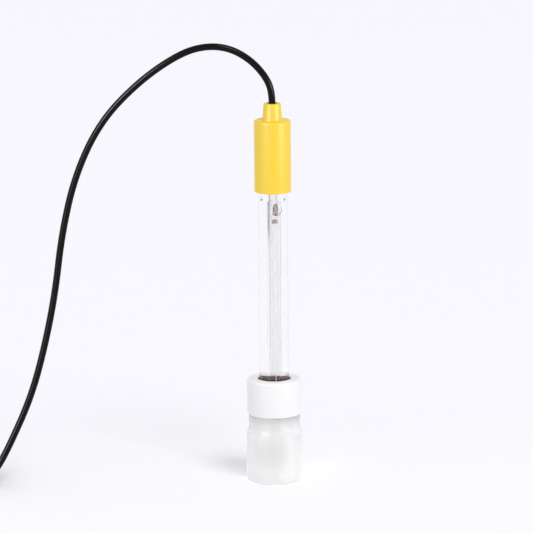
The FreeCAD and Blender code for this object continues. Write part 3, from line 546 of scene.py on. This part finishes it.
def stem():
    """The narrow tube for the pin's wire, fused to the outer tube in the real one."""
    bore = STEM_RADIUS - STEM_WALL
    bottom = GLASS_FLOOR - STEM_SUNK
    top = GLASS_TOP + STEM_PROUD
    profile = [
        (bore, bottom),
        (STEM_RADIUS, bottom - STEM_EDGE),
        (STEM_RADIUS, top - 2 * STEM_EDGE),
        (STEM_RADIUS - STEM_EDGE, top),
        (bore + STEM_EDGE, top),
        (bore, top - STEM_EDGE),
    ]
    bm = spun(profile, steps=64)
    bmesh.ops.translate(bm, verts=bm.verts, vec=(STEM_OFFSET * MM, 0, 0))
    item = finished("glass_stem", bm, "stem_glass", "electrode")


# The head

HEAD_WALL = 1.33
HEAD_GAP = 0.1
HEAD_BOTTOM = 119.5
HEAD_TOP = 148.7
HEAD_ROOF = 2.8
HEAD_LOWER_EDGE = 0.4
HEAD_UPPER_EDGE = 0.8
STOPPER_FLANGE = 1.2
CHAMBER_INSET = 0.6
BOSS_HEIGHT = 6.8
BOSS_FOOT_RADIUS = 4.0
BOSS_FOOT_FILLET = 0.25
BOSS_TIP_RADIUS = 3.52
BOSS_TIP_EDGE = 0.5
MOUTH_RADIUS = 2.1
MOUTH_DEPTH = 1.5
CABLE_HOLE_GAP = 0.05
# Degrees at which the boss's taper leaves its foot's fillet and meets its tip's rounding.
TAPER_FROM = 188
TAPER_TO = 4


def head():
    """The yellow head with its rounded edges, the tapered boss, the glass's socket and the chamber."""
    socket = GLASS_RADIUS + HEAD_GAP
    socket_top = GLASS_TOP + STOPPER_FLANGE + HEAD_GAP
    outside = socket + HEAD_WALL
    chamber = GLASS_RADIUS - CHAMBER_INSET
    chamber_top = HEAD_TOP - HEAD_ROOF
    boss_top = HEAD_TOP + BOSS_HEIGHT
    cable_hole = CABLE_RADIUS + CABLE_HOLE_GAP
    profile = (
        [(socket, HEAD_BOTTOM)]
        + arc((outside - HEAD_LOWER_EDGE, HEAD_BOTTOM + HEAD_LOWER_EDGE), HEAD_LOWER_EDGE, -90, 0)
        + arc((outside - HEAD_UPPER_EDGE, HEAD_TOP - HEAD_UPPER_EDGE), HEAD_UPPER_EDGE, 0, 90)
        + arc(
            (BOSS_FOOT_RADIUS + BOSS_FOOT_FILLET, HEAD_TOP + BOSS_FOOT_FILLET),
            BOSS_FOOT_FILLET, 270, TAPER_FROM, steps=4,
        )
        + arc((BOSS_TIP_RADIUS - BOSS_TIP_EDGE, boss_top - BOSS_TIP_EDGE), BOSS_TIP_EDGE, TAPER_TO, 90)
        + [(MOUTH_RADIUS, boss_top), (cable_hole, boss_top - MOUTH_DEPTH)]
        + [(cable_hole, chamber_top), (chamber, chamber_top), (chamber, socket_top), (socket, socket_top)]
    )
    item = finished("head_shell", spun(profile), "yellow_plastic", "electrode")
    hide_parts("head_cap")


# The gel and its bubble. The gel reaches a little into the glass, so that light bends once there.

GEL_OVERLAP = 0.06
GEL_STEM_OVERLAP = 0.02
GEL_FLOOR_OVERLAP = 0.1
GEL_LEVEL = 116.3
NEAR_THE_STEM = 2.0
FACES_UP = 0.7
BUBBLE_HALF_SIZE = (2.0, 1.45, 2.5)
BUBBLE_AT = Vector((1.2, -3.25, 112.7)) * MM


def gel():
    """The electrolyte between the outer tube and the stem, up to its flat level."""
    outer = GLASS_BORE + GEL_OVERLAP
    inner = STEM_RADIUS - GEL_STEM_OVERLAP
    middle = (GLASS_RADIUS - GLASS_ROUNDING, GLASS_FLOOR + GLASS_INNER_ROUNDING)
    profile = (
        [(inner, GLASS_FLOOR - GEL_FLOOR_OVERLAP)]
        + arc(middle, GLASS_INNER_ROUNDING + GEL_OVERLAP, -89, 0, steps=16)
        + [(outer, ROUND_END_TOP), (outer, GEL_LEVEL), (inner, GEL_LEVEL)]
    )
    bm = spun(profile, steps=128)
    by_the_stem = [v for v in bm.verts if math.hypot(v.co.x, v.co.y) < NEAR_THE_STEM * MM]
    bmesh.ops.translate(bm, verts=by_the_stem, vec=(STEM_OFFSET * MM, 0, 0))
    item = finished("gel_fill", bm, "clear_gel", "electrode")
    item.data.materials.append(MATERIALS["gel_level"])
    for face in item.data.polygons:
        if face.normal.z > FACES_UP and face.center.z > ROUND_END_TOP * MM:
            face.material_index = 1
    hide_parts("reference_gel")


def bubble():
    """The air bubble in the gel, in front of the coiled lead."""
    bm = bmesh.new()
    bmesh.ops.create_uvsphere(bm, u_segments=32, v_segments=20, radius=MM)
    bmesh.ops.scale(bm, verts=bm.verts, vec=BUBBLE_HALF_SIZE)
    bmesh.ops.translate(bm, verts=bm.verts, vec=BUBBLE_AT)
    item = finished("gel_bubble", bm, "air_bubble", "electrode")


head()
outer_glass()
stem()
gel()
bubble()

# The bottle, with a pushed-up base and a bead under its neck. The lid's bore sets the neck's width.

BOTTLE_RADIUS = 11.4
BOTTLE_WALL = 1.1
BASE_ROUNDING = 1.5
BASE_RING_INSIDE = 6.6
PUSH_UP_RADIUS = 3.2
PUSH_UP_RISE = 1.8
# A point a little above the rounded base keeps the side's shading straight.
SIDE_BOTTOM = 5.0
SHOULDER_BOTTOM = 20.2
SHOULDER_ROUNDING = 0.9
SHOULDER_ARC_END = 25
# Where the shoulder runs out into the bead: distances from the bead, and heights.
SHOULDER_HOLLOW = [(0.12, 22.05), (0.04, 22.3), (0.0, 22.7)]
BEAD_STEP = 1.3
BEAD_TOP = 27.7
BEAD_EDGE = 0.3
BEAD_HOLLOW_BOTTOM = 22.5
LID_INSET = 0.35
LID_WALL = 1.1
LID_RADIUS = BOTTLE_RADIUS - LID_INSET
LID_BORE = LID_RADIUS - LID_WALL
THREAD_SPACE = 0.75
NECK_RADIUS = LID_BORE - THREAD_SPACE
NECK_WALL = 1.2
NECK_TOP = 38.5
NECK_EDGE = 0.2


def bottle():
    """The small storage bottle without its thread."""
    inside = BOTTLE_RADIUS - BOTTLE_WALL
    bead = NECK_RADIUS + BEAD_STEP
    bore = NECK_RADIUS - NECK_WALL
    profile = (
        [(0.0, PUSH_UP_RISE), (PUSH_UP_RADIUS, PUSH_UP_RISE), (BASE_RING_INSIDE, 0.0)]
        + arc((BOTTLE_RADIUS - BASE_ROUNDING, BASE_ROUNDING), BASE_ROUNDING, -90, 0)
        + [(BOTTLE_RADIUS, SIDE_BOTTOM)]
        + arc(
            (BOTTLE_RADIUS - SHOULDER_ROUNDING, SHOULDER_BOTTOM),
            SHOULDER_ROUNDING, 0, SHOULDER_ARC_END, steps=6,
        )
        + [(bead + away, height) for away, height in SHOULDER_HOLLOW]
        + [(bead, BEAD_TOP - BEAD_EDGE), (bead - BEAD_EDGE, BEAD_TOP), (NECK_RADIUS, BEAD_TOP)]
        + [(NECK_RADIUS, NECK_TOP - NECK_EDGE), (NECK_RADIUS - NECK_EDGE, NECK_TOP)]
        + [(bore + NECK_EDGE, NECK_TOP), (bore, NECK_TOP - NECK_EDGE)]
        + [(bore, BEAD_TOP - BOTTLE_WALL), (bead - BOTTLE_WALL, BEAD_TOP - 2 * BOTTLE_WALL)]
        + [(bead - BOTTLE_WALL, BEAD_HOLLOW_BOTTOM), (inside, SHOULDER_BOTTOM)]
        + [(inside, BOTTLE_WALL + BASE_ROUNDING)]
        + arc((inside - BASE_ROUNDING, BOTTLE_WALL + BASE_ROUNDING), BASE_ROUNDING, 0, -90)
        + [(BASE_RING_INSIDE, BOTTLE_WALL), (PUSH_UP_RADIUS, PUSH_UP_RISE + BOTTLE_WALL)]
        + [(0.0, PUSH_UP_RISE + BOTTLE_WALL)]
    )
    item = finished("bottle_shell", spun(profile), "translucent_plastic", "bottle")
    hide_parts("storage_bottle")


# The liquid. It reaches a little into the bottle's wall and leaves the electrode's end free.

LIQUID_OVERLAP = 0.06
LIQUID_FLOOR_GAP = 0.1
# A point a little above the rounded foot keeps the side's shading straight.
LIQUID_SIDE_BOTTOM = 3.0
LIQUID_LEVEL = 17.0
# Where the level is drawn up: distances from the wall or the glass, and rises.
DRAWN_UP_AT_WALL = [(0.0, 0.3), (0.56, 0.05), (1.16, 0.0)]
DRAWN_UP_AT_GLASS = [(0.9, 0.0), (0.2, 0.15), (0.0, 0.4)]
GLASS_HOLLOW_GAP = 0.3
GLASS_HOLLOW_DEPTH = 0.6
PIN_HOLLOW_RADIUS = 1.55
PIN_HOLLOW_BOTTOM = 3.3


def liquid():
    """The storage liquid, its level drawn up a little at the wall and at the glass."""
    outer = BOTTLE_RADIUS - BOTTLE_WALL + LIQUID_OVERLAP
    floor_height = BOTTLE_WALL + LIQUID_FLOOR_GAP
    middle_height = PUSH_UP_RISE + floor_height
    hollow = GLASS_RADIUS + GLASS_HOLLOW_GAP
    hollow_bottom = GLASS_BOTTOM - GLASS_HOLLOW_DEPTH
    profile = (
        [(0.0, middle_height), (PUSH_UP_RADIUS, middle_height), (BASE_RING_INSIDE, floor_height)]
        + arc((outer - BASE_ROUNDING, floor_height + BASE_ROUNDING), BASE_ROUNDING, -90, 0)
        + [(outer, LIQUID_SIDE_BOTTOM)]
        + [(outer - away, LIQUID_LEVEL + rise) for away, rise in DRAWN_UP_AT_WALL]
        + [(hollow + away, LIQUID_LEVEL + rise) for away, rise in DRAWN_UP_AT_GLASS]
        + [(hollow, hollow_bottom), (PIN_HOLLOW_RADIUS, hollow_bottom)]
        + [(PIN_HOLLOW_RADIUS, PIN_HOLLOW_BOTTOM), (0.0, PIN_HOLLOW_BOTTOM)]
    )
    item = finished("solution_fill", spun(profile, steps=128), "clear_liquid", "bottle")
    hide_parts("storage_solution")


# The lid

LID_RIM_GAP = 0.3
LID_HEIGHT = 14.5
LID_TOP_WALL = 1.3
LID_LOWER_EDGE = 0.3
LID_UPPER_EDGE = 1.0
LID_HOLE_CLEARANCE = 0.71
LID_HOLE_EDGE = 0.15


def lid():
    """The plain screw lid without its thread."""
    bottom = BEAD_TOP + LID_RIM_GAP
    top = bottom + LID_HEIGHT
    hole = GLASS_RADIUS + LID_HOLE_CLEARANCE
    profile = (
        [(LID_BORE, bottom + LID_LOWER_EDGE)]
        + arc((LID_RADIUS - LID_LOWER_EDGE, bottom + LID_LOWER_EDGE), LID_LOWER_EDGE, -90, 0, steps=4)
        + arc((LID_RADIUS - LID_UPPER_EDGE, top - LID_UPPER_EDGE), LID_UPPER_EDGE, 0, 90)
        + [(hole + LID_HOLE_EDGE, top), (hole, top - LID_HOLE_EDGE)]
        + [(hole, top - LID_TOP_WALL), (LID_BORE, top - LID_TOP_WALL)]
    )
    item = finished("lid_shell", spun(profile), "white_plastic", "lid")
    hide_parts("bottle_lid")


# The threads of the neck and the lid, one ridge each, sunk a little into their walls

THREAD_PITCH = 3.0
THREAD_TURNS = 1.75
THREAD_STEPS_A_TURN = 48
RIDGE_SUNK = 0.1
RIDGE_CLEARANCE = 0.2
RIDGE_SLOPE = 0.4
RIDGE_CREST = 0.4
NECK_RIDGE_BOTTOM = 30.2
LID_RIDGE_BOTTOM = 31.7


def ridge(name, root, crest, bottom, look, body):
    """A right-handed ridge from a root radius to a crest radius, wound up from its lowest point."""
    upper = RIDGE_SLOPE + RIDGE_CREST
    outline = [(root, 0.0), (crest, RIDGE_SLOPE), (crest, upper), (root, upper + RIDGE_SLOPE)]
    bm, verts, edges = section(outline, bottom)
    bm.faces.new(verts)
    bmesh.ops.spin(
        bm, geom=verts + edges, axis=(0, 0, 1), cent=(0, 0, 0),
        dvec=(0, 0, THREAD_PITCH / THREAD_STEPS_A_TURN * MM),
        angle=2 * math.pi * THREAD_TURNS, steps=int(THREAD_STEPS_A_TURN * THREAD_TURNS),
    )
    bm.verts.ensure_lookup_table()
    bm.faces.new(bm.verts[-len(outline):])
    item = finished(name, bm, look, body)


bottle()
liquid()
lid()
ridge(
    "bottle_thread", NECK_RADIUS - RIDGE_SUNK, LID_BORE - RIDGE_CLEARANCE,
    NECK_RIDGE_BOTTOM, "translucent_plastic", "bottle",
)
ridge(
    "lid_thread", LID_BORE + RIDGE_SUNK, NECK_RADIUS + RIDGE_CLEARANCE,
    LID_RIDGE_BOTTOM, "white_plastic", "lid",
)

# The floor, the world and the lamps. Lengths are in metres here.

FLOOR_SIZE = 40.0
FLOOR_FADE_LENGTH = 1.4
FLOOR_TONES = [
    (0.0, (1.0, 1.0, 1.0)),
    (0.06, (0.975, 0.97, 1.0)),
    (1.0, (0.955, 0.948, 0.99)),
]
BACKDROP = (0.97, 0.97, 1.0)
BACKDROP_AS_LIGHT = 0.74


def gradient(tree, source, stops):
    """A colour ramp of (place, colour) stops over a value from 0 to 1."""
    ramp = tree.nodes.new("ShaderNodeValToRGB")
    while len(ramp.color_ramp.elements) > 1:
        ramp.color_ramp.elements.remove(ramp.color_ramp.elements[-1])
    first, *others = stops
    ramp.color_ramp.elements[0].position = first[0]
    ramp.color_ramp.elements[0].color = (*first[1], 1)
    for place, colour in others:
        ramp.color_ramp.elements.new(place).color = (*colour, 1)
    tree.links.new(source, ramp.inputs[0])
    return ramp


def floor():
    """A white surface that keeps the shadow and dims a little with distance."""
    bm = bmesh.new()
    bmesh.ops.create_grid(bm, x_segments=1, y_segments=1, size=FLOOR_SIZE / 2)
    mesh = bpy.data.meshes.new("floor")
    bm.to_mesh(mesh)
    bm.free()
    item = bpy.data.objects.new("floor", mesh)
    SCENE.collection.objects.link(item)
    made = bpy.data.materials.new("floor_white")
    made.use_nodes = True
    tree = made.node_tree
    shader = tree.nodes["Principled BSDF"]
    place = tree.nodes.new("ShaderNodeTexCoord")
    split = tree.nodes.new("ShaderNodeSeparateXYZ")
    tree.links.new(place.outputs["Object"], split.inputs[0])
    depth = tree.nodes.new("ShaderNodeMapRange")
    depth.inputs["From Max"].default_value = FLOOR_FADE_LENGTH
    tree.links.new(split.outputs["Y"], depth.inputs["Value"])
    ramp = gradient(tree, depth.outputs[0], FLOOR_TONES)
    tree.links.new(ramp.outputs[0], shader.inputs["Base Color"])
    shader.inputs["Roughness"].default_value = 1.0
    shader.inputs["Specular IOR Level"].default_value = 0.0
    item.data.materials.append(made)


def world():
    """White for the camera and for what the clear pieces show of it, and dimmer as a light."""
    made = bpy.data.worlds.new("world")
    made.use_nodes = True
    SCENE.world = made
    tree = made.node_tree
    back = tree.nodes["Background"]
    back.inputs["Color"].default_value = (*BACKDROP, 1)
    path = tree.nodes.new("ShaderNodeLightPath")
    inside = node(tree, "ShaderNodeMath", operation="MULTIPLY", use_clamp=True)
    tree.links.new(path.outputs["Is Glossy Ray"], inside.inputs[0])
    tree.links.new(path.outputs["Transmission Depth"], inside.inputs[1])
    through = node(tree, "ShaderNodeMath", operation="MAXIMUM")
    tree.links.new(inside.outputs[0], through.inputs[0])
    tree.links.new(path.outputs["Is Transmission Ray"], through.inputs[1])
    seen = node(tree, "ShaderNodeMath", operation="MAXIMUM")
    tree.links.new(path.outputs["Is Camera Ray"], seen.inputs[0])
    tree.links.new(through.outputs[0], seen.inputs[1])
    strength = tree.nodes.new("ShaderNodeMapRange")
    strength.inputs["To Min"].default_value = BACKDROP_AS_LIGHT
    strength.inputs["To Max"].default_value = 1.0
    tree.links.new(seen.outputs[0], strength.inputs["Value"])
    tree.links.new(strength.outputs[0], back.inputs["Strength"])


def sun(name, strength, width, azimuth, elevation, only_gloss=False):
    """A soft lamp from a direction in degrees, its azimuth from -Y towards +X."""
    data = bpy.data.lights.new(name, "SUN")
    data.energy = strength
    data.angle = math.radians(width)
    item = bpy.data.objects.new(name, data)
    SCENE.collection.objects.link(item)
    a, e = math.radians(azimuth), math.radians(elevation)
    towards = Vector((math.sin(a) * math.cos(e), -math.cos(a) * math.cos(e), math.sin(e)))
    item.rotation_mode = "QUATERNION"
    item.rotation_quaternion = towards.to_track_quat("Z", "Y")
    if only_gloss:
        item.visible_diffuse = False
        item.visible_transmission = False


def lamps():
    """Three lamps that light the pieces, and three that add only highlights."""
    sun("key", 1.0, width=22, azimuth=28, elevation=50)
    sun("side", 0.2, width=20, azimuth=58, elevation=5)
    sun("left", 0.15, width=30, azimuth=-60, elevation=5)
    sun("gloss_left", 3.2, width=24, azimuth=-43, elevation=24, only_gloss=True)
    sun("gloss_low", 0.4, width=16, azimuth=-38, elevation=3, only_gloss=True)
    sun("gloss_right", 2.4, width=24, azimuth=58, elevation=2, only_gloss=True)


floor()
world()
lamps()
SCENE.view_settings.view_transform = "Standard"
